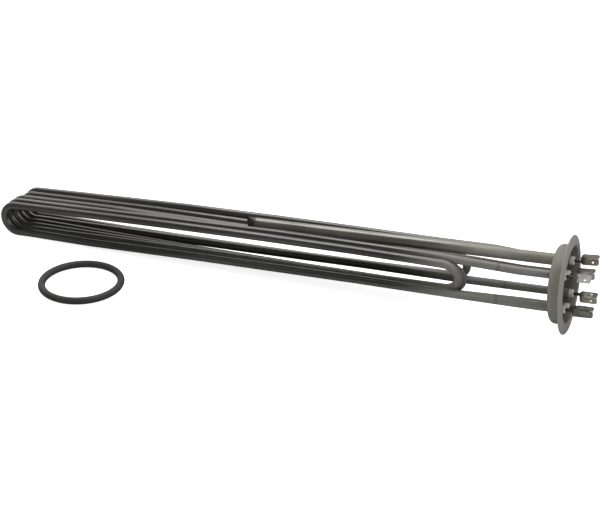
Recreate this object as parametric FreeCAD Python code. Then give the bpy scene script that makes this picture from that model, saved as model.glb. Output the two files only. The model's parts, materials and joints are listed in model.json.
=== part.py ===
import FreeCAD, Part
import math
import os

# Immersion heater of a dishwasher: three tubular heating elements, each bent twice to and fro,
# brazed with a sensor pocket into a pressed cup flange, and the O-ring that seals the flange.
#
# The heater is drawn along its own axis: X points out of the cup towards the terminals, Y goes
# sideways and Z goes up. X = 0 is the middle of the rim's outer edge, and everything wet lies
# at negative X. At the end the heater is laid down on its rim and its far loops.

Vector = FreeCAD.Vector

# Heating tube
tube_d = 6.5
tube_wall = 0.7
coil_d = 2.6
kink_r = 40.0

# Far loops: six of them side by side, the first one at the front
far_reach = 487.0
far_stagger = 0.5
lane_pitch = 6.9
far_low = -7.0

# Near turns, where each element turns back before it reaches the flange
near_reach = 78.7
near_stagger = 0.6
near_half_gap = 11.75

# Legs of each element, numbered from the front. Holes are (Y, Z) in the cup's bottom. Leg points
# are (distance from the rim, Z) in the leg's own lane, and an entry with a third number is that
# far to the right of its lane.
elements = [
    {
        "name": "front",
        "low_hole": (-13.6, -14.0),
        "first_low": [(80.0, -11.5), (165.0, -10.0), (300.0, -8.7), (402.0, -8.6), (460.0, -7.0)],
        "first_far": 17.2,
        "first_high": [(117.0, 13.7), (166.0, 15.1), (244.0, 16.5), (325.0, 17.1)],
        "turn": 0.85,
        "second_low": [(166.0, -10.2), (298.0, -8.0), (460.0, -7.0)],
        "second_far": 17.8,
        "second_high": [(100.0, 15.2), (230.0, 17.8)],
        "high_hole": (-13.8, 13.7),
    },
    {
        "name": "middle",
        "low_hole": (0.0, -19.2),
        "first_low": [(80.0, -17.9, -0.8), (105.0, -17.2, -0.8), (166.0, -14.6), (270.0, -11.5), (460.0, -7.0)],
        "first_far": 17.8,
        "first_high": [(385.0, 17.8)],
        "turn": -6.65,
        "second_low": [(141.0, -17.9), (218.0, -16.0), (298.0, -13.4), (460.0, -7.0)],
        "second_far": 14.6,
        "second_high": [(75.0, 8.8), (380.0, 14.6)],
        "high_hole": (0.0, 8.4),
    },
    {
        "name": "rear",
        "low_hole": (13.6, -14.0),
        "first_low": [(80.0, -11.8, -0.8), (105.0, -11.2, -0.8), (166.0, -10.4), (270.0, -9.7), (460.0, -7.0)],
        "first_far": 15.4,
        "first_high": [(350.0, 15.4)],
        "turn": -1.45,
        "second_low": [(166.0, -13.5), (218.0, -13.1), (298.0, -11.8), (382.0, -9.9), (460.0, -7.0)],
        "second_far": 16.5,
        "second_high": [(62.0, 14.2), (105.0, 14.5), (166.0, 15.7), (244.0, 17.0), (325.0, 17.8), (418.0, 17.2)],
        "high_hole": (13.8, 13.7),
    },
]

# Cup flange, pressed from sheet
sheet = 1.0
rim_r = 37.7
drum_r = 30.2
cup_depth = 10.5
cup_corner_r = 4.0
seal_corner_r = 0.6
rim_sweep_deg = 12.5
braze_gap = 0.05
braze_width = 1.2
braze_height = 1.6

# Straight ends of the legs, through the flange
tube_end = -2.5
straight_end = 36.0

# Sensor pocket: a thin tube, open into the cup and squeezed flat at its far end
pocket_d = 9.0
pocket_wall = 0.5
pocket_z = 19.6
pocket_inside = 2.0
pocket_reach = 262.0
pinch_length = 6.5
pinch_height = 10.2
pinch_thickness = 1.4

# Cold ends of the elements
pin_d = 2.5
pin_reach = 13.0
pin_depth = 28.0
bead_depth = 6.5
bead_head_d = 6.3
bead_head = 3.1
bead_edge = 0.5

# Double tabs for push-on connectors: two blades at a right angle, the first one welded to the
# pin. Each has the direction that its first blade faces, in degrees from +Y towards +Z, the side
# (+1 or -1) on which the second blade starts, how far the blade is shifted across the pin
# towards the second one, and by how many degrees it is welded on askew.
tab_sheet = 0.8
tab_width = 6.3
tab_length = 13.3
tab_start = 6.0
tab_joined = 5.5
tab_slot = 0.5
tab_chamfer = 1.2
tab_hole_d = 1.6
tab_hole_inset = 4.5
tab_places = {
    "front_low": (180.0, -1, -0.8, 2.0),
    "front_high": (160.0, -1, 0.0, 0.0),
    "middle_low": (95.0, 1, 1.2, 0.0),
    "middle_high": (180.0, -1, 1.4, 3.0),
    "rear_low": (105.0, 1, 1.2, 0.0),
    "rear_high": (180.0, -1, 1.2, 3.0),
}

# O-ring, lying on the table beside the far end of the heater
ring_bore_d = 57.4
ring_section_d = 5.8
ring_x = -374.8
ring_y = -77.4

tube_r = tube_d / 2
tube_bore_r = tube_r - tube_wall
pocket_r = pocket_d / 2


def point(across, up, along):
    """A place on the heater: its distance along the axis comes last, like a hole's depth."""
    return Vector(along, across, up)


def lane(number):
    """Sideways place of a far loop, 1 at the front and 6 at the rear."""
    return (number - 3.5) * lane_pitch


def far_apex(number):
    """Centre line of a far loop at its outermost place."""
    return -(far_reach - far_stagger * (number - 1)) + tube_r


def leg_points(entries, number):
    """Places along a leg, from the flange towards the far end."""
    places = []
    for entry in entries:
        shift = entry[2] if len(entry) > 2 else 0.0
        places.append(point(lane(number) + shift, entry[1], -entry[0]))
    return places


def route(element, first_loop, end):
    """Corner places of an element's centre line, and which pairs of them form a turn."""
    second_loop = first_loop + 1
    low_y, low_z = element["low_hole"]
    high_y, high_z = element["high_hole"]
    near_apex = -near_reach - near_stagger * (first_loop - 1) / 2 - tube_r
    turn_z = element["turn"]
    places = [point(low_y, low_z, end), point(low_y, low_z, -straight_end)]
    places += leg_points(element["first_low"], first_loop)
    turns = [len(places)]
    places.append(point(lane(first_loop), far_low, far_apex(first_loop)))
    places.append(point(lane(first_loop), element["first_far"], far_apex(first_loop)))
    places += reversed(leg_points(element["first_high"], first_loop))
    turns.append(len(places))
    places.append(point(lane(first_loop), turn_z + near_half_gap, near_apex))
    places.append(point(lane(second_loop), turn_z - near_half_gap, near_apex))
    places += leg_points(element["second_low"], second_loop)
    turns.append(len(places))
    places.append(point(lane(second_loop), far_low, far_apex(second_loop)))
    places.append(point(lane(second_loop), element["second_far"], far_apex(second_loop)))
    places += reversed(leg_points(element["second_high"], second_loop))
    places += [point(high_y, high_z, -straight_end), point(high_y, high_z, end)]
    return places, turns


def corner_tangent(places, number):
    """Half-angle tangent at a corner: the length that an arc of radius 1 takes from each run."""
    incoming = places[number] - places[number - 1]
    outgoing = places[number + 1] - places[number]
    return math.tan(incoming.getAngle(outgoing) / 2)


def rounded_edges(places, radii):
    """Straight runs between the places, joined by tangent arcs of the given radii."""
    edges = []
    start = places[0]
    for number in range(1, len(places) - 1):
        corner = places[number]
        incoming = (corner - places[number - 1]).normalize()
        outgoing = (places[number + 1] - corner).normalize()
        half_turn = incoming.getAngle(outgoing) / 2
        if half_turn < 1e-6:
            continue
        tangent = radii[number] * math.tan(half_turn)
        arc_start = corner - incoming * tangent
        arc_end = corner + outgoing * tangent
        inward = (outgoing - incoming).normalize()
        arc_middle = corner + inward * (radii[number] / math.cos(half_turn) - radii[number])
        if (arc_start - start).Length > 1e-5:
            edges.append(Part.LineSegment(start, arc_start).toShape())
        edges.append(Part.Arc(arc_start, arc_middle, arc_end).toShape())
        start = arc_end
    edges.append(Part.LineSegment(start, places[-1]).toShape())
    return edges


def centre_line(element, first_loop, end):
    """Centre line of an element as a wire, with round turns and gentle kinks."""
    places, turns = route(element, first_loop, end)
    radii = [kink_r] * len(places)
    for number in turns:
        gap = (places[number + 1] - places[number]).Length
        radius = gap / (corner_tangent(places, number) + corner_tangent(places, number + 1))
        radii[number] = radius
        radii[number + 1] = radius
    return Part.Wire(rounded_edges(places, radii))


def swept_rod(element, first_loop, end, radius):
    """A round rod along an element's centre line, from the low end to the high end."""
    low_y, low_z = element["low_hole"]
    circle = Part.makeCircle(radius, point(low_y, low_z, end), Vector(1, 0, 0))
    section = Part.Face(Part.Wire(circle))
    return centre_line(element, first_loop, end).makePipe(section)


def swept_pipe(element, first_loop, end, radius, bore_radius):
    """A pipe along an element's centre line, open at both ends."""
    outside = swept_rod(element, first_loop, end, radius)
    return outside.cut(swept_rod(element, first_loop, end, bore_radius))


def turned(outline):
    """A solid of revolution about the heater's axis, from (along, radius) corners."""
    corners = [Vector(along, radius, 0) for along, radius in outline]
    face = Part.Face(Part.makePolygon(corners + corners[:1]))
    return face.revolve(Vector(0, 0, 0), Vector(1, 0, 0), 360)


def at(shape, hole):
    """The shape moved sideways from the axis to a hole's place."""
    shape.translate(point(hole[0], hole[1], 0))
    return shape


def rod(radius, start, stop, hole=(0.0, 0.0)):
    """A round rod parallel to the axis between two places along it."""
    return Part.makeCylinder(radius, stop - start, point(hole[0], hole[1], start), Vector(1, 0, 0))


# Holes of the cup's bottom, by the end of the element that passes through
tube_holes = {}
for element in elements:
    tube_holes[element["name"] + "_low"] = element["low_hole"]
    tube_holes[element["name"] + "_high"] = element["high_hole"]
pocket_hole = (0.0, pocket_z)

sweep = math.radians(rim_sweep_deg)
rim_face = sheet / 2 / math.cos(sweep)
drum_bore_r = drum_r - sheet


def rim_along(radius, side):
    """Place along the axis of the rim's front (+1) or back (-1) face at a radius."""
    return side * rim_face + (rim_r - radius) * math.tan(sweep)


def flange_cup():
    """Cup pressed from one disc of sheet: flat bottom, straight drum, rim swept back."""
    outline = [
        Vector(-cup_depth, 0, 0),
        Vector(-cup_depth, drum_r, 0),
        Vector(rim_along(drum_r, -1), drum_r, 0),
        Vector(rim_along(rim_r, -1), rim_r, 0),
        Vector(rim_along(rim_r, 1), rim_r, 0),
        Vector(rim_along(drum_bore_r, 1), drum_bore_r, 0),
        Vector(-cup_depth + sheet, drum_bore_r, 0),
        Vector(-cup_depth + sheet, 0, 0),
    ]
    edge_r = sheet * 0.3
    radii = [0, cup_corner_r, seal_corner_r, edge_r, edge_r, seal_corner_r + sheet, cup_corner_r - sheet, 0]
    edges = rounded_edges(outline, radii)
    edges.append(Part.LineSegment(outline[-1], outline[0]).toShape())
    cup = Part.Face(Part.Wire(edges)).revolve(Vector(0, 0, 0), Vector(1, 0, 0), 360)
    for hole in tube_holes.values():
        cup = cup.cut(rod(tube_r + braze_gap, -cup_depth - 1, -cup_depth + sheet + 1, hole))
    return cup.cut(rod(pocket_r + braze_gap, -cup_depth - 1, -cup_depth + sheet + 1, pocket_hole))


def braze_ring(radius, hole):
    """Fillet of braze on the wet side of the bottom, round a tube."""
    outline = [
        (-cup_depth, radius),
        (-cup_depth, radius + braze_width),
        (-cup_depth - braze_height * 0.3, radius + braze_width * 0.35),
        (-cup_depth - braze_height, radius),
    ]
    return at(turned(outline), hole)


def sensor_pocket():
    """Thin tube for the temperature sensor, open in the cup, its far end squeezed shut upright."""
    mouth = -cup_depth + sheet + pocket_inside
    pinch_start = -pocket_reach + pinch_length
    round_end = Part.Wire(Part.makeCircle(pocket_r, point(0, 0, pinch_start), Vector(1, 0, 0)))
    flat_end = Part.Ellipse(
        point(0, pinch_height / 2, -pocket_reach),
        point(pinch_thickness / 2, 0, -pocket_reach),
        point(0, 0, -pocket_reach),
    )
    pinch = Part.makeLoft([round_end, Part.Wire(flat_end.toShape())], True)
    pocket = rod(pocket_r, pinch_start, mouth).fuse(pinch)
    bore = rod(pocket_r - pocket_wall, pinch_start + pocket_wall, mouth + 1)
    return at(pocket.cut(bore), pocket_hole)


def cold_pin(hole):
    """Thick steel wire that carries the current from the tab to the coil."""
    return rod(pin_d / 2, -pin_depth, pin_reach, hole)


def end_bead(hole):
    """Ceramic plug in the end of a tube, with a head that covers the tube's end face."""
    outline = [
        (-bead_depth, pin_d / 2),
        (-bead_depth, tube_bore_r),
        (tube_end, tube_bore_r),
        (tube_end, bead_head_d / 2),
        (tube_end + bead_head - bead_edge, bead_head_d / 2),
        (tube_end + bead_head, bead_head_d / 2 - bead_edge),
        (tube_end + bead_head, pin_d / 2),
    ]
    return at(turned(outline), hole)


def insulation(element, first_loop):
    """Packed magnesia powder between the sheath and the coil, up to the beads."""
    return swept_pipe(element, first_loop, -bead_depth, tube_bore_r, coil_d / 2)


def tab_blade(corner, outwards, normal):
    """One flat blade of a double tab, from the fold at the corner outwards."""
    tip = tab_start + tab_length
    outline = [
        (tab_start, 0),
        (tab_start + tab_joined, 0),
        (tab_start + tab_joined, tab_sheet + tab_slot),
        (tip - tab_chamfer, tab_sheet + tab_slot),
        (tip, tab_sheet + tab_slot + tab_chamfer),
        (tip, tab_width - tab_chamfer),
        (tip - tab_chamfer, tab_width),
        (tab_start + tab_chamfer, tab_width),
        (tab_start, tab_width - tab_chamfer),
    ]
    corners = []
    for along, out in outline:
        corners.append(corner + outwards * out + Vector(along, 0, 0))
    blade = Part.Face(Part.makePolygon(corners + corners[:1])).extrude(normal * -tab_sheet)
    middle = (tab_width + tab_sheet + tab_slot) / 2
    hole_place = corner + outwards * middle + normal + Vector(tip - tab_hole_inset, 0, 0)
    return blade.cut(Part.makeCylinder(tab_hole_d / 2, tab_sheet + 2, hole_place, normal * -1))


def double_tab(end_name):
    """Two blades of one sheet, folded to a right angle, the first one against the pin."""
    facing_deg, side, shift, askew_deg = tab_places[end_name]
    facing = math.radians(facing_deg)
    normal = Vector(0, math.cos(facing), math.sin(facing))
    towards_fold = Vector(0, -side * math.sin(facing), side * math.cos(facing))
    corner = normal * (pin_d / 2 + tab_sheet) + towards_fold * (tab_width / 2 + shift)
    first = tab_blade(corner, towards_fold * -1, normal)
    second = tab_blade(corner, normal * -1, towards_fold)
    tab = first.fuse(second).removeSplitter()
    tab.rotate(Vector(tab_start, 0, 0), normal, askew_deg)
    return at(tab, tube_holes[end_name])


def lying_angle():
    """Tilt of the heater that lies on its rim and on its first and last far loops."""
    far_high = elements[0]["first_far"]
    loop_r = (far_high - far_low) / 2
    rise = rim_r + (far_high + far_low) / 2
    run = far_reach - tube_r - loop_r - sheet / 2
    drop = loop_r + tube_r
    return math.atan2(rise, run) - math.asin(drop / math.hypot(rise, run))


lean = lying_angle()
floor_z = -rim_r * math.cos(lean) - sheet / 2 * math.sin(lean)
laid_down = FreeCAD.Placement(Vector(0, 0, 0), FreeCAD.Rotation(Vector(0, 1, 0), -math.degrees(lean)))


def seal_ring():
    """O-ring that goes on the drum behind the rim, taken off and lying flat."""
    centre_r = (ring_bore_d + ring_section_d) / 2
    return Part.makeTorus(centre_r, ring_section_d / 2, Vector(ring_x, ring_y, floor_z + ring_section_d / 2))


def save(name, shape):
    """Writes one piece, after checking that it is one sound solid."""
    solids = shape.Solids
    if len(solids) != 1 or not solids[0].isValid():
        raise ValueError(name + " isn't one sound solid")
    piece = solids[0]
    if piece.Volume < 0:
        piece.reverse()
    piece.exportStep(os.path.join("parts", name + ".step"))
    print(name, round(piece.Volume, 1))


def save_laid_down(name, shape):
    """Writes one piece of the heater, tilted with the whole heater as it lies."""
    shape.Placement = laid_down.multiply(shape.Placement)
    save(name, shape)


os.makedirs("parts", exist_ok=True)

save_laid_down("flange_cup", flange_cup())
save_laid_down("sensor_pocket", sensor_pocket())
save_laid_down("pocket_braze", braze_ring(pocket_r, pocket_hole))
for position, element in enumerate(elements):
    first_loop = 2 * position + 1
    name = element["name"]
    save_laid_down(name + "_sheath", swept_pipe(element, first_loop, tube_end, tube_r, tube_bore_r))
    save_laid_down(name + "_insulation", insulation(element, first_loop))
    save_laid_down(name + "_coil", swept_rod(element, first_loop, -pin_depth, coil_d / 2))
for end_name, hole in tube_holes.items():
    save_laid_down(end_name + "_braze", braze_ring(tube_r, hole))
    save_laid_down(end_name + "_pin", cold_pin(hole))
    save_laid_down(end_name + "_bead", end_bead(hole))
    save_laid_down(end_name + "_tab", double_tab(end_name))
save("seal_ring", seal_ring())
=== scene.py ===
import json
import math

import bmesh
import bpy
from mathutils import Matrix, Vector


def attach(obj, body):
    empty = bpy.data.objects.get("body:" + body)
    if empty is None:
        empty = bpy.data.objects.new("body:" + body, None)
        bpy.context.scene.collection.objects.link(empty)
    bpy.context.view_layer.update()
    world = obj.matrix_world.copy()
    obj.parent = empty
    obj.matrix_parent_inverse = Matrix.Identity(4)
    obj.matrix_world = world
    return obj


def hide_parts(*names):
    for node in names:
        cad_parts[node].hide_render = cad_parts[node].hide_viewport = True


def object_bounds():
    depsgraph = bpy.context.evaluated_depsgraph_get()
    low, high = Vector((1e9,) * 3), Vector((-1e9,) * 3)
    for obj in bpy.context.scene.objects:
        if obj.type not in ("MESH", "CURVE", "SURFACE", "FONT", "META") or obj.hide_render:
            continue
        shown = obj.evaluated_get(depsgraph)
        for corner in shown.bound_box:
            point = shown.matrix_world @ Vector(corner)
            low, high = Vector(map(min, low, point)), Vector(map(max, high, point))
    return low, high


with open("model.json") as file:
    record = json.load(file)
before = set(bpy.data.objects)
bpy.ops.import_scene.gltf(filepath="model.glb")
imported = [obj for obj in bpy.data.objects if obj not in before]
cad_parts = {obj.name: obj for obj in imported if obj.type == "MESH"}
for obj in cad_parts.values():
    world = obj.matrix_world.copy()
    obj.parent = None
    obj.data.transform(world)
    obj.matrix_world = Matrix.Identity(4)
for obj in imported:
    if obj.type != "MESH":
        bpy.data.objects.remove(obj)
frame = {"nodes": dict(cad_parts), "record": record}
cad_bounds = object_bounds()


# Table and light: a white studio sweep, burnt out to plain white, under soft light from above.
# The metal sees a dimmer table and a dim room in front, which gives the tubes their dark flanks.
def link(name, data):
    """Adds an object to the scene, at the origin and unturned."""
    thing = bpy.data.objects.new(name, data)
    bpy.context.scene.collection.objects.link(thing)
    return thing


class Wire:
    """A socket that can be used in sums: each operator adds a Math node."""

    def __init__(self, shade, socket):
        self.shade = shade
        self.socket = socket

    def math(self, operation, *others):
        return self.shade.node("ShaderNodeMath", {"operation": operation}, self, *others)

    def __add__(self, other):
        return self.math("ADD", other)

    def __sub__(self, other):
        return self.math("SUBTRACT", other)

    def __rsub__(self, other):
        return self.shade.node("ShaderNodeMath", {"operation": "SUBTRACT"}, other, self)

    def __mul__(self, other):
        return self.math("MULTIPLY", other)

    __radd__ = __add__
    __rmul__ = __mul__

    def step(self, start, stop):
        """0 before start, 1 after stop, and smooth between them."""
        settings = {"interpolation_type": "SMOOTHSTEP"}
        return self.shade.node("ShaderNodeMapRange", settings, self, start, stop)


class Shade:
    """The node tree of one material or world, written as calls."""

    def __init__(self, owner):
        owner.use_nodes = True
        self.tree = owner.node_tree
        self.tree.nodes.clear()

    def node(self, kind, settings, *values, output=0, **named):
        """Adds a node, sets it up, feeds its sockets and gives back one of its outputs."""
        made = self.tree.nodes.new(kind)
        for key, value in settings.items():
            setattr(made, key, value)
        for place, value in enumerate(values):
            self.feed(made.inputs[place], value)
        for key, value in named.items():
            self.feed(made.inputs[key.replace("_", " ")], value)
        return Wire(self, made.outputs[output]) if made.outputs else None

    def feed(self, socket, value):
        """Links a socket or sets it. None leaves it as it is."""
        if isinstance(value, Wire):
            self.tree.links.new(value.socket, socket)
        elif value is not None:
            socket.default_value = value

    def place(self):
        """Object coordinates, which every piece has in the part's own frame."""
        return self.node("ShaderNodeTexCoord", {}, output="Object")

    def parts(self, vector):
        """The X, Y and Z of a vector."""
        splitter = self.node("ShaderNodeSeparateXYZ", {}, vector).socket.node
        return [Wire(self, socket) for socket in splitter.outputs]

    def stretched(self, vector, scale):
        """A vector scaled along each axis, to draw a grain out."""
        return self.node("ShaderNodeMapping", {}, vector, Scale=scale)

    def noise(self, vector, scale, detail=4.0, roughness=0.55):
        return self.node("ShaderNodeTexNoise", {}, Vector=vector, Scale=scale, Detail=detail,
                         Roughness=roughness)

    def mix(self, factor, *colours):
        """Blend of two colours. A Mix node has five other sockets before its pair for colours."""
        pair = [colour if isinstance(colour, Wire) else colour + (1.0,) for colour in colours]
        unused = [None] * 5
        return self.node("ShaderNodeMix", {"data_type": "RGBA"}, factor, *unused, *pair, output=2)

    def bump(self, height, distance):
        return self.node("ShaderNodeBump", {}, Height=height, Distance=distance)

    def dress(self, name, value):
        """Feeds one socket of the material's shader."""
        self.feed(self.surface.inputs[name], value)


def grey(level):
    """A neutral colour."""
    return (level, level, level)


def finished(name, **sockets):
    """A new material with one Principled shader. Returns the material and its node tree's Shade."""
    material = bpy.data.materials.new(name)
    shade = Shade(material)
    shader = shade.node("ShaderNodeBsdfPrincipled", {})
    shade.node("ShaderNodeOutputMaterial", {}, shader)
    shade.surface = shader.socket.node
    for key, value in sockets.items():
        shade.dress(key.replace("_", " "), value)
    return material, shade


table_half = 6.0
paper_seen = grey(0.95)
paper_lit = grey(0.85)
paper_mirrored = grey(0.28)
paper_glow = grey(0.78)

floor_z = cad_bounds[0][2]
table = bmesh.new()
bmesh.ops.create_grid(table, x_segments=1, y_segments=1, size=table_half,
                      matrix=Matrix.Translation((0, 0, floor_z)))
table_mesh = bpy.data.meshes.new("table")
table.to_mesh(table_mesh)
table.free()
floor = link("table", table_mesh)
white, paper = finished("white_sweep", Roughness=0.9, Specular_IOR_Level=0.1, Emission_Strength=1.0)
seen = paper.node("ShaderNodeLightPath", {}, output="Is Camera Ray")
mirrored = paper.node("ShaderNodeLightPath", {}, output="Is Glossy Ray")
unseen = paper.mix(mirrored, paper_lit, paper_mirrored)
paper.dress("Base Color", paper.mix(seen, unseen, paper_seen))
paper.dress("Emission Color", paper.mix(seen, grey(0.0), paper_glow))
table_mesh.materials.append(white)

tent_seen = grey(1.0)
tent_soft = grey(0.78)
mirrored_front = grey(0.10)
mirrored_back = grey(1.15)
front_end = -0.2
back_start = 0.25

sky = bpy.data.worlds.new("light_tent")
bpy.context.scene.world = sky
tent = Shade(sky)
seen = tent.node("ShaderNodeLightPath", {}, output="Is Camera Ray")
mirrored = tent.node("ShaderNodeLightPath", {}, output="Is Glossy Ray")
towards_back = tent.parts(tent.node("ShaderNodeTexCoord", {}, output="Generated"))[1]
gloss_light = tent.mix(towards_back.step(front_end, back_start), mirrored_front, mirrored_back)
soft_light = tent.mix(mirrored, tent_soft, gloss_light)
tent_light = tent.node("ShaderNodeBackground", {}, tent.mix(seen, soft_light, tent_seen))
tent.node("ShaderNodeOutputWorld", {}, tent_light)


def lamp(name, place, target, size, power):
    """A soft box, aimed at a place on the table."""
    data = bpy.data.lights.new(name, "AREA")
    data.shape = "RECTANGLE"
    data.size, data.size_y = size
    data.energy = power
    box = link(name, data)
    box.location = place
    box.rotation_euler = (Vector(target) - Vector(place)).to_track_quat("-Z", "Y").to_euler()


lamp("top_box", place=(-0.25, 0.25, 1.5), target=(-0.23, 0.0, 0.0), size=(1.6, 0.8), power=9.0)
lamp("side_box", place=(1.2, -0.5, 0.9), target=(-0.1, 0.0, 0.0), size=(0.8, 0.8), power=3.0)


# Camera: a long lens looking down at the heater from its front and its terminal side.
camera_place = Vector((0.17546, -0.96123, 0.50949))
camera_yaw = math.radians(-22.22)
camera_pitch = math.radians(27.15)
sensor_mm = 36.0
lens_mm = 87.0
view_way = Vector((
    math.sin(camera_yaw) * math.cos(camera_pitch),
    math.cos(camera_yaw) * math.cos(camera_pitch),
    -math.sin(camera_pitch),
))
camera = link("camera", bpy.data.cameras.new("camera"))
camera.data.sensor_width = sensor_mm
camera.data.lens = lens_mm
camera.location = camera_place
camera.rotation_euler = view_way.to_track_quat("-Z", "Y").to_euler()
bpy.context.scene.camera = camera
bpy.context.scene.view_settings.view_transform = "Standard"


# The heater is drawn along its own axis, X out of the cup towards the terminals, and laid down
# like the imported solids. The drum's mount gives the axis as it lies.
mounts = {mount["name"]: mount for mount in frame["record"]["mounts"]}
axis_in = Vector(mounts["drum"]["axis"])
lean = math.atan2(-axis_in.z, -axis_in.x)
laid_down = Matrix.Rotation(-lean, 4, "Y")


def piece(name, mesh_maker, material, slot, *nodes, sharp_deg=35.0, laid=True):
    """Turns a bmesh into a finished piece that stands for CAD nodes and rides with the part."""
    if laid:
        bmesh.ops.transform(mesh_maker, matrix=laid_down, verts=mesh_maker.verts)
    bmesh.ops.recalc_face_normals(mesh_maker, faces=mesh_maker.faces)
    mesh = bpy.data.meshes.new(name)
    mesh_maker.to_mesh(mesh)
    mesh_maker.free()
    for face in mesh.polygons:
        face.use_smooth = True
    mesh.set_sharp_from_angle(angle=math.radians(sharp_deg))
    mesh.materials.append(material)
    made = link(name, mesh)
    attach(made, "root")
    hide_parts(*nodes)
    return made


# Heating tubes: three thin stainless tubes, each bent twice to and fro on a bending machine, so
# that six loops lie side by side at the far end. The hot stretch is dark from use, and the cold
# ends near the cup stay a plain matt grey.
tube_r = 0.00325
tube_bore_r = 0.00255
kink_r = 0.040
far_reach = 0.487
far_stagger = 0.0005
lane_pitch = 0.0069
middle_lane = 3.5
far_low = -0.0070
near_reach = 0.0787
near_stagger = 0.0006
near_half_gap = 0.01175
tube_end = -0.0025
straight_end = 0.036
bead_depth = 0.0065
tube_sides = 28
bend_step = math.radians(7)
straight_enough = 1e-5
no_length = 1e-6

# Leg points are (distance from the rim, height in the lane), and a third number moves a point
# sideways out of its lane.
elements = {
    "front": {
        "low_hole": (-0.0136, -0.0140),
        "first_low": [
            (0.080, -0.0115),
            (0.165, -0.0100),
            (0.300, -0.0087),
            (0.402, -0.0086),
            (0.460, -0.0070),
        ],
        "first_far": 0.0172,
        "first_high": [(0.117, 0.0137), (0.166, 0.0151), (0.244, 0.0165), (0.325, 0.0171)],
        "turn": 0.00085,
        "second_low": [(0.166, -0.0102), (0.298, -0.0080), (0.460, -0.0070)],
        "second_far": 0.0178,
        "second_high": [(0.100, 0.0152), (0.230, 0.0178)],
        "high_hole": (-0.0138, 0.0137),
    },
    "middle": {
        "low_hole": (0.0, -0.0192),
        "first_low": [
            (0.080, -0.0179, -0.0008),
            (0.105, -0.0172, -0.0008),
            (0.166, -0.0146),
            (0.270, -0.0115),
            (0.460, -0.0070),
        ],
        "first_far": 0.0178,
        "first_high": [(0.385, 0.0178)],
        "turn": -0.00665,
        "second_low": [(0.141, -0.0179), (0.218, -0.0160), (0.298, -0.0134), (0.460, -0.0070)],
        "second_far": 0.0146,
        "second_high": [(0.075, 0.0088), (0.380, 0.0146)],
        "high_hole": (0.0, 0.0084),
    },
    "rear": {
        "low_hole": (0.0136, -0.0140),
        "first_low": [
            (0.080, -0.0118, -0.0008),
            (0.105, -0.0112, -0.0008),
            (0.166, -0.0104),
            (0.270, -0.0097),
            (0.460, -0.0070),
        ],
        "first_far": 0.0154,
        "first_high": [(0.350, 0.0154)],
        "turn": -0.00145,
        "second_low": [
            (0.166, -0.0135),
            (0.218, -0.0131),
            (0.298, -0.0118),
            (0.382, -0.0099),
            (0.460, -0.0070),
        ],
        "second_far": 0.0165,
        "second_high": [
            (0.062, 0.0142),
            (0.105, 0.0145),
            (0.166, 0.0157),
            (0.244, 0.0170),
            (0.325, 0.0178),
            (0.418, 0.0172),
        ],
        "high_hole": (0.0138, 0.0137),
    },
}


def lane(number):
    """Sideways place of a far loop, 1 at the front and 6 at the rear."""
    return (number - middle_lane) * lane_pitch


def leg(entries, number):
    """Places along a leg, from the flange towards the far end."""
    places = []
    for entry in entries:
        shift = entry[2] if len(entry) > 2 else 0.0
        places.append(Vector((-entry[0], lane(number) + shift, entry[1])))
    return places


def bending_plan(element, first):
    """Corner places of a tube's centre line with the radius of the bend at each."""
    second = first + 1
    low_y, low_z = element["low_hole"]
    high_y, high_z = element["high_hole"]
    first_apex = tube_r + far_stagger * (first - 1) - far_reach
    second_apex = first_apex + far_stagger
    near_apex = -near_reach - near_stagger * (first - 1) / 2 - tube_r
    places = [Vector((tube_end, low_y, low_z)), Vector((-straight_end, low_y, low_z))]
    places += leg(element["first_low"], first)
    turns = [len(places)]
    places.append(Vector((first_apex, lane(first), far_low)))
    places.append(Vector((first_apex, lane(first), element["first_far"])))
    places += reversed(leg(element["first_high"], first))
    turns.append(len(places))
    places.append(Vector((near_apex, lane(first), element["turn"] + near_half_gap)))
    places.append(Vector((near_apex, lane(second), element["turn"] - near_half_gap)))
    places += leg(element["second_low"], second)
    turns.append(len(places))
    places.append(Vector((second_apex, lane(second), far_low)))
    places.append(Vector((second_apex, lane(second), element["second_far"])))
    places += reversed(leg(element["second_high"], second))
    places += [Vector((-straight_end, high_y, high_z)), Vector((tube_end, high_y, high_z))]
    radii = [kink_r] * len(places)
    for number in turns:
        reach = 0.0
        for corner in (number, number + 1):
            before = places[corner] - places[corner - 1]
            after = places[corner + 1] - places[corner]
            reach += math.tan(before.angle(after) / 2)
        radii[number] = radii[number + 1] = (places[number + 1] - places[number]).length / reach
    return places, radii


def rim_of(geometry):
    """The edges among the geometry that an operator gives back."""
    return [part for part in geometry if isinstance(part, bmesh.types.BMEdge)]


def feed(tube, rim, way):
    """Pushes the open end of a tube straight on."""
    grown = bmesh.ops.extrude_edge_only(tube, edges=rim)["geom"]
    bmesh.ops.translate(tube, vec=way, verts=[v for v in grown if isinstance(v, bmesh.types.BMVert)])
    return rim_of(grown)


def narrow(tube, rim, radius_share, middle):
    """Draws the open end of a tube inwards, flat, to a share of its radius."""
    grown = bmesh.ops.extrude_edge_only(tube, edges=rim)["geom"]
    verts = [v for v in grown if isinstance(v, bmesh.types.BMVert)]
    bmesh.ops.scale(tube, vec=(radius_share,) * 3, space=Matrix.Translation(-middle), verts=verts)
    return rim_of(grown)


def open_rim(tube, middle, radius, sides):
    """Starts a tube with a bare circle of edges that faces along the heater."""
    facing_back = Matrix.Translation(middle) @ Matrix.Rotation(math.radians(-90), 4, "Y")
    bmesh.ops.create_circle(tube, segments=sides, radius=radius, matrix=facing_back)


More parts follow.
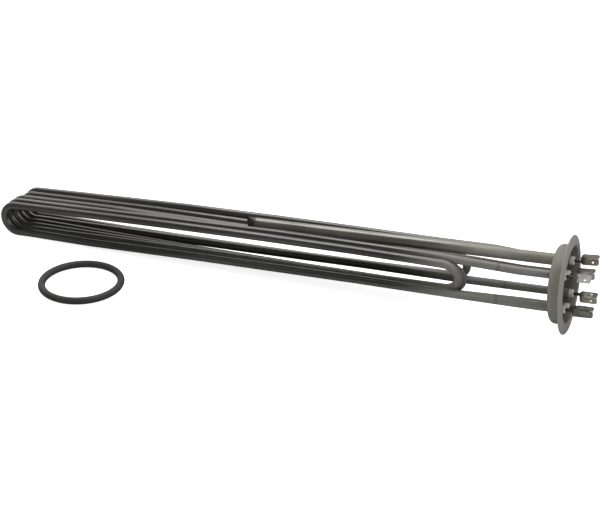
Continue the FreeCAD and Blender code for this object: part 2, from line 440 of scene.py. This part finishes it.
def bent_tube(places, radii):
    """A tube fed and bent along its centre line, with its first and last open rims."""
    tube = bmesh.new()
    tube.verts.layers.float_vector.new("unrolled")
    open_rim(tube, places[0], tube_r, tube_sides)
    start_rim = list(tube.edges)
    rim = start_rim
    here = places[0]
    for number in range(1, len(places) - 1):
        corner = places[number]
        before = (corner - places[number - 1]).normalized()
        after = (places[number + 1] - corner).normalized()
        turn = before.angle(after)
        if turn < straight_enough:
            continue
        tangent = radii[number] * math.tan(turn / 2)
        bend_start = corner - before * tangent
        if (bend_start - here).length > no_length:
            rim = feed(tube, rim, bend_start - here)
        inward = (after - before * math.cos(turn)).normalized()
        steps = max(2, round(turn / bend_step))
        spun = bmesh.ops.spin(tube, geom=rim, cent=bend_start + inward * radii[number],
                              axis=before.cross(after).normalized(), angle=turn, steps=steps)
        rim = rim_of(spun["geom_last"])
        here = corner + after * tangent
    return tube, start_rim, feed(tube, rim, places[-1] - here)


def unrolled(tube, first_ring):
    """Stores where each place lies along and round the tube, so that its grain follows bends."""
    layer = tube.verts.layers.float_vector["unrolled"]
    ring = {vert: math.tau * place / len(first_ring) for place, vert in enumerate(first_ring)}
    done = set()
    run = 0.0
    before = None
    while ring:
        middle = sum((vert.co for vert in ring), Vector()) / len(ring)
        run += (middle - before).length if before else 0.0
        before = middle
        for vert, angle in ring.items():
            vert[layer] = (run, tube_r * math.cos(angle), tube_r * math.sin(angle))
        done.update(ring)
        onwards = {}
        for vert, angle in ring.items():
            for edge in vert.link_edges:
                onwards.setdefault(edge.other_vert(vert), angle)
        ring = {vert: angle for vert, angle in onwards.items() if vert not in done}


def bored(tube, rim, middle, radius_share, depth):
    """Finishes an open tube end: its wall's end face, then a bore down to a flat bottom."""
    rim = narrow(tube, rim, radius_share, middle)
    rim = feed(tube, rim, Vector((-depth, 0, 0)))
    bmesh.ops.contextual_create(tube, geom=rim)


hot_black = (0.130, 0.128, 0.122)
hot_grey = (0.225, 0.222, 0.213)
hot_brown = (0.150, 0.138, 0.118)
cold_grey = (0.215, 0.211, 0.192)
cold_pale = (0.262, 0.258, 0.238)
mark_brown = (0.12, 0.115, 0.105)
hot_end = -0.140
cold_start = -0.085
mark_reach = 0.049
mark_waver = 0.004
mark_width = 0.0022
mark_core = 0.0004

sheath_metal, sheath = finished("sheath_steel")
along = sheath.parts(sheath.place())[0]
cold = along.step(hot_end, cold_start)
lengthwise = sheath.node("ShaderNodeAttribute", {"attribute_name": "unrolled"}, output="Vector")
streaks = sheath.noise(sheath.stretched(lengthwise, (9, 330, 330)), 1.0)
grain = sheath.noise(sheath.stretched(lengthwise, (60, 700, 700)), 1.0, roughness=0.6)
clouds = sheath.noise(sheath.stretched(sheath.place(), (14, 70, 70)), 1.0, roughness=0.6)
burnt = sheath.mix(streaks.step(0.36, 0.66), hot_black, hot_grey)
burnt = sheath.mix(clouds.step(0.50, 0.72) * 0.6, burnt, hot_brown)
fresh = sheath.mix(grain.step(0.35, 0.7), cold_grey, cold_pale)
mark = (along + mark_reach + mark_waver * clouds).math("ABSOLUTE").step(mark_width, mark_core)
fresh = sheath.mix(mark * clouds.step(0.34, 0.52) * 0.6, fresh, mark_brown)
sheath.dress("Base Color", sheath.mix(cold, burnt, fresh))
sheath.dress("Metallic", 0.95 - 0.5 * cold)
sheath.dress("Roughness", 0.25 + 0.16 * streaks + 0.25 * cold)
sheath.dress("Normal", sheath.bump(streaks, 0.00004))

for number, (name, element) in enumerate(elements.items()):
    places, radii = bending_plan(element, 2 * number + 1)
    tube, start_rim, end_rim = bent_tube(places, radii)
    tube.verts.ensure_lookup_table()
    unrolled(tube, tube.verts[:tube_sides])
    bored(tube, start_rim, places[0], tube_bore_r / tube_r, bead_depth)
    bored(tube, end_rim, places[-1], tube_bore_r / tube_r, bead_depth)
    piece(name + "_tube", tube, sheath_metal, "sheath_steel", name + "_sheath", sharp_deg=50)


# Filling of the tubes: white magnesia powder, packed hard round the coiled resistance wire. Both
# end at the cold pins and are out of sight, but a cut through a tube shows them.
def coat(material, *nodes):
    """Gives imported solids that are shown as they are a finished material."""
    for node_name in nodes:
        mesh = frame["nodes"][node_name].data
        mesh.materials.clear()
        mesh.materials.append(material)


powder_shade = (0.70, 0.69, 0.66)
powder_white = (0.86, 0.86, 0.84)

powder, chalk = finished("magnesia", Roughness=0.95, Specular_IOR_Level=0.2)
specks = chalk.noise(chalk.place(), 2200.0, 3.0)
chalk.dress("Base Color", chalk.mix(specks, powder_shade, powder_white))
chalk.dress("Normal", chalk.bump(specks, 0.00008))
coat(powder, *[name + "_insulation" for name in elements])

coil_pitch = 0.0007
painted_gap_shade = (0.09, 0.08, 0.07)
painted_crest_highlight = (0.42, 0.39, 0.36)

wire, winding = finished("heating_wire", Metallic=1.0)
turns = (winding.parts(winding.place())[0] * (math.tau / coil_pitch)).math("SINE")
oxide = winding.noise(winding.place(), 900.0)
# Painted shade in the gaps between the coil's turns and a painted highlight on their crests, varied by
# the oxide.
crest_highlight = turns.step(-0.9, 0.2) * (0.6 + 0.4 * oxide)
winding.dress("Base Color", winding.mix(crest_highlight, painted_gap_shade, painted_crest_highlight))
winding.dress("Roughness", 0.35 + 0.2 * oxide)
winding.dress("Normal", winding.bump(turns, 0.0002))
coat(wire, *[name + "_coil" for name in elements])


# Cup flange: one disc of thin stainless sheet, pressed to a flat bottom, a straight drum and a
# thin rim swept back for the clamp ring. Matt from pickling, with faint rings from the press.
same_place = 1e-7


def copied(node_name):
    """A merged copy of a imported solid's mesh, to be finished further."""
    copy = bmesh.new()
    copy.from_mesh(frame["nodes"][node_name].data)
    bmesh.ops.remove_doubles(copy, verts=copy.verts, dist=same_place)
    return copy


sheet = 0.001
drum_r = 0.0302
cup_depth = 0.0105
cup_corner_r = 0.004
cup_mouth = 0.001
rim_light_start = 0.0308
rim_light_full = 0.0322

skin_dark = (0.205, 0.200, 0.165)
skin_pale = (0.240, 0.235, 0.200)
ring_pale = (0.270, 0.265, 0.230)
rim_painted_light = (0.272, 0.262, 0.238)
painted_bottom_shade = (0.050, 0.049, 0.039)

cup_metal, cup = finished("flange_steel")
cup_x, cup_y, cup_z = cup.parts(cup.node("ShaderNodeMapping", {}, cup.place(), Rotation=(0, lean, 0)))
cup_radius = (cup_y * cup_y + cup_z * cup_z).math("SQRT")
ring_place = cup.node("ShaderNodeCombineXYZ", {}, cup_x * 300, cup_radius * 900, 0.0)
press_rings = cup.noise(ring_place, 1.0, 3.0)
bloom = cup.noise(cup.place(), 55.0, 5.0, 0.65)
tooth = cup.noise(cup.place(), 1900.0, 3.0)

# Both faces of the sheet run round the middle of the corner's arc, the inner one nearer to it.
from_wall = (cup_radius - (drum_r - cup_corner_r)).math("MAXIMUM", 0.0)
from_bottom = (cup_corner_r - cup_depth - cup_x).math("MAXIMUM", 0.0)
from_round = (from_wall * from_wall + from_bottom * from_bottom).math("SQRT")
inside = from_round.step(cup_corner_r - 0.4 * sheet, cup_corner_r - 0.6 * sheet)
depth = cup_x.step(cup_mouth, sheet - cup_depth)

skin = cup.mix(bloom.step(0.35, 0.68), skin_dark, skin_pale)
skin = cup.mix(press_rings * 0.3, skin, ring_pale)
# The rim is painted lighter than the drum: a painted pool of light for the light it catches from below
# and in front.
skin = cup.mix(cup_radius.step(rim_light_start, rim_light_full) * 0.85, skin, rim_painted_light)
# The inner face is painted darker the deeper it lies in the cup: painted shade round the beads. Its
# metallic drops and its roughness rises with the same painted shade.
cup.dress("Base Color", cup.mix(inside * (0.04 + 0.88 * depth), skin, painted_bottom_shade))
cup.dress("Metallic", 0.25 - inside * depth * 0.25)
cup.dress("Roughness", 0.5 + 0.12 * bloom + inside * depth * 0.38)
cup.dress("Normal", cup.bump(0.5 * tooth + press_rings, 0.00003))
pressed = piece("pressed_cup", copied("flange_cup"), cup_metal, "flange_steel", "flange_cup", laid=False)

# Shading weighted by the faces' areas keeps the flat bottom free of creases between its holes.
flat_shading = pressed.modifiers.new("flat_shading", "WEIGHTED_NORMAL")
flat_shading.keep_sharp = True
flat_shading.weight = 100


# Sensor pocket: a thinner-walled, wider tube over the bundle, open into the cup and squeezed
# shut upright at its far end. Straw and olive from heat, darkest where it was squeezed.
pocket_r = 0.0045
pocket_bore_r = 0.0040
pocket_z = 0.0196
pocket_mouth = -0.0075
pocket_reach = 0.262
pinch_length = 0.0065
pinch_height = 0.0102
pinch_thickness = 0.0014
pinch_steps = 8
pocket_sides = 44

olive_dark = (0.24, 0.235, 0.195)
olive_pale = (0.34, 0.335, 0.30)
draw_dark = (0.19, 0.185, 0.155)
straw = (0.215, 0.185, 0.145)
squeeze_black = (0.075, 0.072, 0.064)
bright_end = -0.115
plain_start = -0.060
straw_reach = 0.024
straw_waver = 0.006
straw_width = 0.011
straw_core = 0.002
squeeze_start = -0.2535
squeeze_full = -0.2565

pocket_metal, pocket = finished("pocket_steel")
pocket_x = pocket.parts(pocket.place())[0]
drawn = pocket.noise(pocket.stretched(pocket.place(), (12, 600, 600)), 1.0)
stain = pocket.noise(pocket.stretched(pocket.place(), (30, 120, 120)), 1.0, 5.0, 0.6)
olive = pocket.mix(stain.step(0.35, 0.7), olive_dark, olive_pale)
olive = pocket.mix(drawn * 0.4, olive, draw_dark)
from_straw = (pocket_x + straw_reach + straw_waver * stain).math("ABSOLUTE")
olive = pocket.mix(from_straw.step(straw_width, straw_core) * 0.45, olive, straw)
plain_end = pocket_x.step(bright_end, plain_start)
squeezed = pocket_x.step(squeeze_start, squeeze_full)
pocket.dress("Base Color", pocket.mix(squeezed, olive, squeeze_black))
pocket.dress("Metallic", 0.85 - 0.5 * plain_end)
pocket.dress("Roughness", 0.22 + 0.14 * stain + 0.1 * squeezed + 0.26 * plain_end)
pocket.dress("Normal", pocket.bump(drawn, 0.00003))


def smooth(share):
    """An S-curve from 0 to 1."""
    return share * share * (3 - 2 * share)


mouth_middle = Vector((pocket_mouth, 0, pocket_z))
sleeve = bmesh.new()
open_rim(sleeve, mouth_middle, pocket_r, pocket_sides)
mouth_rim = list(sleeve.edges)
pinch_start = pocket_reach - pinch_length
straight = pinch_start + pocket_mouth
rim = feed(sleeve, mouth_rim, Vector((-straight, 0, 0)))
width_before, height_before = pocket_r, pocket_r
for step in range(1, pinch_steps + 1):
    share = step / pinch_steps
    eased = smooth(share)
    width = pocket_r + (pinch_thickness / 2 - pocket_r) * eased
    height = pocket_r + (pinch_height / 2 - pocket_r) * eased
    rim = feed(sleeve, rim, Vector((-pinch_length / pinch_steps, 0, 0)))
    middle = Vector((-pinch_start - pinch_length * share, 0, pocket_z))
    ring_verts = list({vert for edge in rim for vert in edge.verts})
    bmesh.ops.scale(sleeve, vec=(1, width / width_before, height / height_before),
                    space=Matrix.Translation(-middle), verts=ring_verts)
    width_before, height_before = width, height
bmesh.ops.contextual_create(sleeve, geom=rim)
bored(sleeve, mouth_rim, mouth_middle, pocket_bore_r / pocket_r, straight)
piece("sensor_sleeve", sleeve, pocket_metal, "pocket_steel", "sensor_pocket", sharp_deg=40)


# Braze: a small hollow fillet of nickel braze round the pocket and each tube on the wet side of
# the cup, satin and a little yellower than the steel, with flux stains.
def spun(outline, hole, steps=40):
    """A ring turned about a line parallel to the heater's axis through a hole's middle."""
    ring = bmesh.new()
    corners = [ring.verts.new((place, hole[0], hole[1] + radius)) for place, radius in outline]
    edges = [ring.edges.new(pair) for pair in zip(corners, corners[1:] + corners[:1])]
    bmesh.ops.spin(ring, geom=corners + edges, cent=(0, hole[0], hole[1]), axis=(1, 0, 0),
                   angle=math.tau, steps=steps, use_merge=True)
    return ring


braze_width = 0.0012
braze_height = 0.0016
fillet_steps = 6
ends = {}
for name, element in elements.items():
    ends[name + "_low"] = element["low_hole"]
    ends[name + "_high"] = element["high_hole"]

filler_brown = (0.20, 0.175, 0.125)
filler_pale = (0.36, 0.335, 0.27)

filler, satin = finished("braze", Metallic=0.9)
flux = satin.noise(satin.place(), 420.0, 4.0, 0.6)
satin.dress("Base Color", satin.mix(flux.step(0.4, 0.65), filler_brown, filler_pale))
satin.dress("Roughness", 0.3 + 0.25 * flux)
satin.dress("Normal", satin.bump(flux, 0.0002))


def fillet(radius):
    """Outline of a hollow fillet round a tube, as places along the axis and radii."""
    outline = [(-cup_depth, radius)]
    for step in range(fillet_steps + 1):
        angle = math.radians(90) * step / fillet_steps
        place = -cup_depth - braze_height * (1 - math.cos(angle))
        outline.append((place, radius + braze_width * (1 - math.sin(angle))))
    return outline


piece("pocket_fillet", spun(fillet(pocket_r), (0.0, pocket_z)), filler, "braze", "pocket_braze")
for end, hole in ends.items():
    piece(end + "_fillet", spun(fillet(tube_r), hole), filler, "braze", end + "_braze")


# Cold ends: a drawn steel pin, painted dark for the shade that falls round it between bead and tab,
# comes out of each tube through a pressed ceramic bead that keeps the powder dry. The bead's head covers
# the tube's end face.
pin_r = 0.00125
bead_head_r = 0.00315
bead_head = 0.0031
bead_edge = 0.0005
bead_round = 0.00015
clay_dark = (0.47, 0.455, 0.39)
clay_pale = (0.58, 0.565, 0.50)
smudge_brown = (0.30, 0.27, 0.22)

bead_end = tube_end + bead_head
bead_outline = [
    (-bead_depth, pin_r),
    (-bead_depth, tube_bore_r),
    (tube_end, tube_bore_r),
    (tube_end, bead_head_r),
    (bead_end - bead_edge, bead_head_r),
    (bead_end - bead_round, bead_head_r - bead_round),
    (bead_end, bead_head_r - bead_edge),
    (bead_end, pin_r),
]
bead_clay, clay = finished("bead_ceramic", Roughness=0.6)
pores = clay.noise(clay.place(), 1500.0, 3.0)
smudge = clay.noise(clay.place(), 160.0, 4.0)
bisque = clay.mix(pores, clay_dark, clay_pale)
clay.dress("Base Color", clay.mix(smudge.step(0.5, 0.75), bisque, smudge_brown))
clay.dress("Normal", clay.bump(pores, 0.0001))
for end, hole in ends.items():
    piece(end + "_plug", spun(bead_outline, hole), bead_clay, "bead_ceramic", end + "_bead")

# The pins' colour is painted dark: painted shade between bead and tab, over the drawn steel's marks.
pin_shade_dark = (0.09, 0.085, 0.075)
pin_shade_pale = (0.25, 0.24, 0.22)

pin_metal, drawn_pin = finished("pin_steel", Metallic=1.0)
draw_marks = drawn_pin.noise(drawn_pin.stretched(drawn_pin.place(), (40, 1800, 1800)), 1.0, 3.0)
drawn_pin.dress("Base Color", drawn_pin.mix(draw_marks, pin_shade_dark, pin_shade_pale))
drawn_pin.dress("Roughness", 0.22 + 0.2 * draw_marks)
coat(pin_metal, *[end + "_pin" for end in ends])


# Double tabs: two blades of plated sheet at a right angle, stamped with a hole for the detent,
# one of them welded to the pin. Each has tarnished in its own way, from tin grey to brass, and
# is scorched round its weld. Each is also painted lighter or darker for the light it catches, and
# their top faces carry a painted dark reflection.
tab_sheet = 0.0008
tab_width = 0.0063
tab_length = 0.0133
tab_start = 0.006
tab_joined = 0.0055
tab_slot = 0.0005
tab_slot_closed = 0.00046
tab_chamfer = 0.0012
tab_corner_filled = 0.0010
on_edge = 5e-5
past_edge = 1e-5
tab_edge_r = 0.00011
flat_angle = math.radians(1)
rim_angle = math.radians(50)

# The direction that a tab's first blade faces, in degrees from +Y towards +Z, the side on which
# its second blade starts, its shift across the pin towards that blade, and the degrees it is askew.
tab_places = {
    "front_low": (180, -1, -0.0008, 2),
    "front_high": (160, -1, 0.0, 0),
    "middle_low": (95, 1, 0.0012, 0),
    "middle_high": (180, -1, 0.0014, 3),
    "rear_low": (105, 1, 0.0012, 0),
    "rear_high": (180, -1, 0.0012, 3),
}

# The dull and the bright tone of each tab: its own tarnish, with painted light in it too, each tab set
# lighter or darker for the light it catches and the front high one painted brightest.
tab_tarnish_and_light = {
    "front_low": ((0.11, 0.108, 0.095), (0.25, 0.248, 0.23)),
    "front_high": ((0.60, 0.60, 0.55), (0.74, 0.74, 0.70)),
    "middle_low": ((0.13, 0.125, 0.115), (0.26, 0.25, 0.23)),
    "middle_high": ((0.27, 0.225, 0.215), (0.48, 0.43, 0.42)),
    "rear_low": ((0.36, 0.345, 0.26), (0.52, 0.505, 0.40)),
    "rear_high": ((0.19, 0.165, 0.105), (0.36, 0.33, 0.25)),
}

painted_top_reflection = (0.085, 0.078, 0.068)
scorch_black = (0.045, 0.040, 0.033)
scorch_start = tab_start + 0.0030
scorch_end = tab_start + 0.0055
scorch_waver = 0.004


def plated(name, dull, bright):
    """Plated sheet, worn bright in places and tarnished in others, with a painted dark reflection on
    faces turned up.
    """
    material, plating = finished(name, Metallic=0.45)
    patina = plating.noise(plating.place(), 210.0, roughness=0.6)
    scratches = plating.noise(plating.stretched(plating.place(), (60, 900, 900)), 1.0)
    tone = plating.mix((patina + 0.3 * scratches).step(0.45, 0.85), dull, bright)
    upwards = plating.parts(plating.node("ShaderNodeNewGeometry", {}, output="Normal"))[2]
    # Faces turned up are painted darker in patches of the tarnish: a painted dark reflection on the tops
    # of the blades.
    patches = upwards.step(0.45, 0.9) * patina.step(0.25, 0.55)
    tone = plating.mix(patches, tone, painted_top_reflection)
    outwards = plating.parts(plating.place())[0]
    scorched = (outwards + scorch_waver * patina).step(scorch_end, scorch_start)
    plating.dress("Base Color", plating.mix(scorched * 0.8, tone, scorch_black))
    plating.dress("Roughness", 0.3 + 0.2 * scratches)
    plating.dress("Normal", plating.bump(scratches, 0.00002))
    return material


def narrowed_slot(blades, end):
    """Draws the slot between the blades of a tab in to a thin line, with nearly square ends."""
    facing_deg, side, shift, askew_deg = tab_places[end]
    facing = math.radians(facing_deg)
    normal = Vector((0, math.cos(facing), math.sin(facing)))
    to_fold = Vector((0, -side * math.sin(facing), side * math.cos(facing)))
    hole = Vector((tab_start, ends[end][0], ends[end][1]))
    turn_back = Matrix.Rotation(-math.radians(askew_deg), 4, normal)
    straighten = turn_back @ Matrix.Translation(-hole) @ laid_down.inverted()
    bmesh.ops.transform(blades, matrix=straighten, verts=blades.verts)
    for across, reach in ((to_fold, tab_width / 2 + shift), (normal, pin_r + tab_sheet)):
        edge_at = reach - tab_sheet - tab_slot
        beyond = [vert for vert in blades.verts if vert.co.x > tab_joined - past_edge]
        edge = [vert for vert in beyond if abs(vert.co @ across - edge_at) < on_edge]
        bmesh.ops.translate(blades, vec=across * tab_slot_closed, verts=edge)
        tips = [vert for vert in beyond if vert.co.x > tab_length - past_edge]
        corners = [vert for vert in tips if abs(vert.co @ across - edge_at + tab_chamfer) < on_edge]
        bmesh.ops.translate(blades, vec=across * (tab_slot_closed + tab_corner_filled), verts=corners)
    bmesh.ops.transform(blades, matrix=straighten.inverted(), verts=blades.verts)


for end in ends:
    blades = copied(end + "_tab")
    bmesh.ops.dissolve_limit(blades, angle_limit=flat_angle, verts=blades.verts, edges=blades.edges)
    narrowed_slot(blades, end)
    rims = [edge for edge in blades.edges if edge.calc_face_angle(0.0) > rim_angle]
    bmesh.ops.bevel(blades, geom=rims, offset=tab_edge_r, offset_type="OFFSET", segments=2,
                    profile=0.5, affect="EDGES", material=-1, clamp_overlap=True)
    plating_metal = plated(end + "_plating", *tab_tarnish_and_light[end])
    piece(end + "_blades", blades, plating_metal, "tab_metal", end + "_tab", laid=False)


# O-ring: moulded black rubber of round section that seals the drum in the tank's hole. It is
# taken off and lies flat, dusted a little, with the mould's parting line round its middle.
ring_bore_r = 0.0287
ring_section_r = 0.0029
ring_x = -0.3748
ring_y = -0.0774
ring_steps = 128
section_steps = 28
seam_width = 0.00018
seam_crest = 0.00006
rubber_black = (0.021, 0.021, 0.020)
dust_grey = (0.055, 0.054, 0.050)

rubber, soot = finished("ring_rubber", Specular_IOR_Level=0.4)
dust = soot.noise(soot.place(), 900.0, roughness=0.6)
patches = soot.noise(soot.place(), 45.0)
height = soot.parts(soot.place())[2]
seam = (height - (floor_z + ring_section_r)).math("ABSOLUTE").step(seam_width, seam_crest)
soot.dress("Base Color", soot.mix(patches * dust.step(0.3, 0.8), rubber_black, dust_grey))
soot.dress("Roughness", 0.42 + 0.2 * patches)
soot.dress("Normal", soot.bump(0.3 * dust + seam, 0.00006))

ring = bmesh.new()
ring_middle = Vector((ring_x, ring_y, floor_z + ring_section_r))
section_place = Matrix.Translation(ring_middle + Vector((ring_bore_r + ring_section_r, 0, 0)))
section_place = section_place @ Matrix.Rotation(math.radians(90), 4, "X")
bmesh.ops.create_circle(ring, segments=section_steps, radius=ring_section_r, matrix=section_place)
bmesh.ops.spin(ring, geom=list(ring.verts) + list(ring.edges), cent=ring_middle, axis=(0, 0, 1),
               angle=math.tau, steps=ring_steps, use_merge=True)
piece("rubber_ring", ring, rubber, "ring_rubber", "seal_ring", laid=False)
